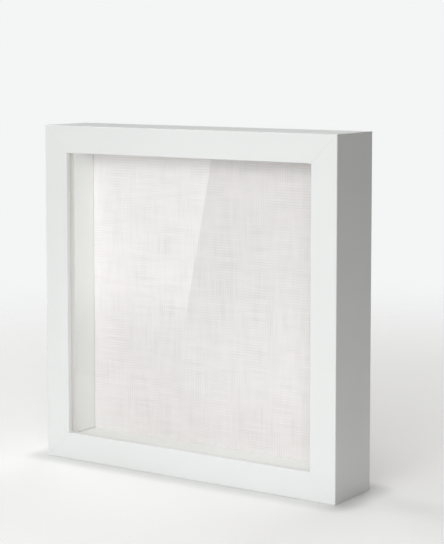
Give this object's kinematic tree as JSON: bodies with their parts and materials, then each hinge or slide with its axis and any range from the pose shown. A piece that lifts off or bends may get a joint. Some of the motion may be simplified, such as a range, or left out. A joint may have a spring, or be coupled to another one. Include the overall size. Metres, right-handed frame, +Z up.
{
  "type": "shadow box",
  "caption": "Deep square white display frame with a glass front, a linen-faced back panel held by turn buttons, and a sawtooth hanger.",
  "frame": {"origin": "middle of the bounding box's underside, on the surface the box stands on", "axes": "+Z up; the glazed front faces -Y and the back panel comes out along +Y; +X is to the right as one looks at the front"},
  "size_m": [0.236, 0.0494, 0.236],
  "materials": {
    "white_lacquer": "satin",
    "spacer_white": "matte",
    "clear_glass": "gloss",
    "linen": "matte",
    "pad_card": "matte",
    "hardboard": "matte",
    "zinc_steel": "satin",
    "pin_steel": "satin"
  },
  "bodies": {
    "frame": {"bottom_moulding": "white_lacquer", "left_moulding": "white_lacquer", "top_moulding": "white_lacquer", "right_moulding": "white_lacquer", "v_nail_bottom_left_1": "pin_steel", "v_nail_bottom_left_2": "pin_steel", "v_nail_top_left_1": "pin_steel", "v_nail_top_left_2": "pin_steel", "v_nail_top_right_1": "pin_steel", "v_nail_top_right_2": "pin_steel", "v_nail_bottom_right_1": "pin_steel", "v_nail_bottom_right_2": "pin_steel", "glass_pane": "clear_glass", "bottom_spacer": "spacer_white", "left_spacer": "spacer_white", "top_spacer": "spacer_white", "right_spacer": "spacer_white", "button_screw_bottom_1": "zinc_steel", "button_screw_bottom_2": "zinc_steel", "button_screw_left_1": "zinc_steel", "button_screw_left_2": "zinc_steel", "button_screw_top_1": "zinc_steel", "button_screw_top_2": "zinc_steel", "button_screw_right_1": "zinc_steel", "button_screw_right_2": "zinc_steel", "sawtooth_hanger": "zinc_steel", "hanger_nail_1": "zinc_steel", "hanger_nail_2": "zinc_steel"},
    "back_panel": {"linen_cover": "linen", "pin_pad": "pad_card", "back_board": "hardboard"},
    "button_bottom_1": {"turn_button_bottom_1": "zinc_steel"},
    "button_bottom_2": {"turn_button_bottom_2": "zinc_steel"},
    "button_left_1": {"turn_button_left_1": "zinc_steel"},
    "button_left_2": {"turn_button_left_2": "zinc_steel"},
    "button_top_1": {"turn_button_top_1": "zinc_steel"},
    "button_top_2": {"turn_button_top_2": "zinc_steel"},
    "button_right_1": {"turn_button_right_1": "zinc_steel"},
    "button_right_2": {"turn_button_right_2": "zinc_steel"}
  },
  "joints": [
    {"name": "back_panel_slide", "type": "slide", "parent": "frame", "child": "back_panel", "axis": [0, 1, 0], "range_m": [0, 0.05]},
    {"name": "button_bottom_1_turn", "type": "hinge", "parent": "frame", "child": "button_bottom_1", "pos_m": [-0.055, 0.0222, 0.007], "axis": [0, -1, 0], "continuous": true},
    {"name": "button_bottom_2_turn", "type": "hinge", "parent": "frame", "child": "button_bottom_2", "pos_m": [0.055, 0.0222, 0.007], "axis": [0, 1, 0], "continuous": true},
    {"name": "button_left_1_turn", "type": "hinge", "parent": "frame", "child": "button_left_1", "pos_m": [-0.111, 0.0222, 0.173], "axis": [0, -1, 0], "continuous": true},
    {"name": "button_left_2_turn", "type": "hinge", "parent": "frame", "child": "button_left_2", "pos_m": [-0.111, 0.0222, 0.063], "axis": [0, 1, 0], "continuous": true},
    {"name": "button_top_1_turn", "type": "hinge", "parent": "frame", "child": "button_top_1", "pos_m": [0.055, 0.0222, 0.229], "axis": [0, -1, 0], "continuous": true},
    {"name": "button_top_2_turn", "type": "hinge", "parent": "frame", "child": "button_top_2", "pos_m": [-0.055, 0.0222, 0.229], "axis": [0, 1, 0], "continuous": true},
    {"name": "button_right_1_turn", "type": "hinge", "parent": "frame", "child": "button_right_1", "pos_m": [0.111, 0.0222, 0.063], "axis": [0, -1, 0], "continuous": true},
    {"name": "button_right_2_turn", "type": "hinge", "parent": "frame", "child": "button_right_2", "pos_m": [0.111, 0.0222, 0.173], "axis": [0, 1, 0], "continuous": true}
  ]
}
